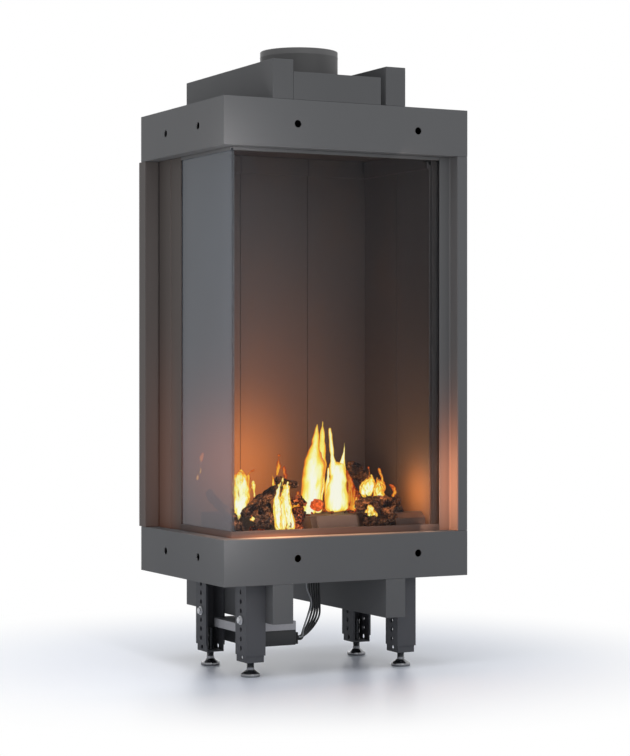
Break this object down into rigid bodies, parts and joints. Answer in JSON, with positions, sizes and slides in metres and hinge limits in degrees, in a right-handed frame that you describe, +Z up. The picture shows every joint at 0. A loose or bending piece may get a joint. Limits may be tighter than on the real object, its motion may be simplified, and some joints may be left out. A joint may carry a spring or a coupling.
{
  "type": "corner gas fireplace",
  "caption": "Tall built-in gas fireplace with glass on the front and the left side, a log bed, a round flue collar and adjustable legs.",
  "frame": {"origin": "on the floor, under the middle of the bounding box", "axes": "+Z up the fireplace, front glass towards -Y, side glass towards -X"},
  "size_m": [0.512, 0.394, 1.176],
  "materials": {
    "anthracite_steel": "matt powder coat",
    "dark_steel": "heat-resistant matt",
    "lining_steel": "satin heat-resistant",
    "zinc_steel": "satin",
    "plated_steel": "polished",
    "flue_steel": "brushed",
    "ceramic_glass": "clear, gloss",
    "ceramic_fibre": "rough, painted bark",
    "black_plastic": "matt",
    "brass": "satin",
    "seal": "matt"
  },
  "bodies": {
    "fireplace": {"lower_band": "anthracite_steel", "upper_band": "anthracite_steel", "base_plate": "anthracite_steel", "casing_top": "anthracite_steel", "casing_wrap": "anthracite_steel", "right_post": "anthracite_steel", "left_post": "anthracite_steel", "left_jamb": "anthracite_steel", "glass_sill": "anthracite_steel", "glass_head": "anthracite_steel", "beam_low_left": "anthracite_steel", "beam_low_right": "anthracite_steel", "beam_top_left": "anthracite_steel", "beam_top_right": "anthracite_steel", "top_upstand": "anthracite_steel", "burner_plate": "anthracite_steel", "leg_fl": "anthracite_steel", "leg_fr": "anthracite_steel", "leg_rl": "anthracite_steel", "leg_rr": "anthracite_steel", "leg_bolt_fl": "zinc_steel", "leg_bolt_fr": "zinc_steel", "leg_bolt_rl": "zinc_steel", "leg_bolt_rr": "zinc_steel", "receiver_bracket": "zinc_steel", "flue_collar": "flue_steel", "flue_inner": "flue_steel", "firebox_shell": "dark_steel", "burner_tray": "dark_steel", "back_panel_1": "lining_steel", "back_panel_2": "lining_steel", "back_panel_3": "lining_steel", "right_panel": "lining_steel", "top_rail": "lining_steel", "ceiling_baffle": "lining_steel", "burner_step": "lining_steel", "front_glass": "ceramic_glass", "side_glass": "ceramic_glass", "corner_seal": "seal", "wire_gland": "seal", "log_left": "ceramic_fibre", "log_slanted": "ceramic_fibre", "log_end": "ceramic_fibre", "log_glowing": "ceramic_fibre", "log_right": "ceramic_fibre", "log_leaning": "ceramic_fibre", "pilot_burner": "brass", "gas_valve": "brass", "receiver_box": "black_plastic", "receiver_plug": "black_plastic", "receiver_wires": "black_plastic"},
    "control_knob": {"valve_knob": "black_plastic"},
    "inner_leg_fl": {"slider_fl": "anthracite_steel"},
    "levelling_foot_fl": {"foot_fl": "plated_steel"},
    "inner_leg_fr": {"slider_fr": "anthracite_steel"},
    "levelling_foot_fr": {"foot_fr": "plated_steel"},
    "inner_leg_rl": {"slider_rl": "anthracite_steel"},
    "levelling_foot_rl": {"foot_rl": "plated_steel"},
    "inner_leg_rr": {"slider_rr": "anthracite_steel"},
    "levelling_foot_rr": {"foot_rr": "plated_steel"}
  },
  "joints": [
    {"name": "leg_fl_height", "type": "slide", "parent": "fireplace", "child": "inner_leg_fl", "axis": [0, 0, -1], "range_m": [0, 0.04]},
    {"name": "foot_fl_thread", "type": "slide", "parent": "inner_leg_fl", "child": "levelling_foot_fl", "axis": [0, 0, -1], "range_m": [-0.008, 0.02]},
    {"name": "leg_fr_height", "type": "slide", "parent": "fireplace", "child": "inner_leg_fr", "axis": [0, 0, -1], "range_m": [0, 0.04]},
    {"name": "foot_fr_thread", "type": "slide", "parent": "inner_leg_fr", "child": "levelling_foot_fr", "axis": [0, 0, -1], "range_m": [-0.008, 0.02]},
    {"name": "leg_rl_height", "type": "slide", "parent": "fireplace", "child": "inner_leg_rl", "axis": [0, 0, -1], "range_m": [0, 0.04]},
    {"name": "foot_rl_thread", "type": "slide", "parent": "inner_leg_rl", "child": "levelling_foot_rl", "axis": [0, 0, -1], "range_m": [-0.008, 0.02]},
    {"name": "leg_rr_height", "type": "slide", "parent": "fireplace", "child": "inner_leg_rr", "axis": [0, 0, -1], "range_m": [0, 0.04]},
    {"name": "foot_rr_thread", "type": "slide", "parent": "inner_leg_rr", "child": "levelling_foot_rr", "axis": [0, 0, -1], "range_m": [-0.008, 0.02]},
    {"name": "knob_turn", "type": "hinge", "parent": "fireplace", "child": "control_knob", "pos_m": [0.029, 0.043, 0.16], "axis": [0, 0, -1], "range_deg": [0, 90]}
  ]
}
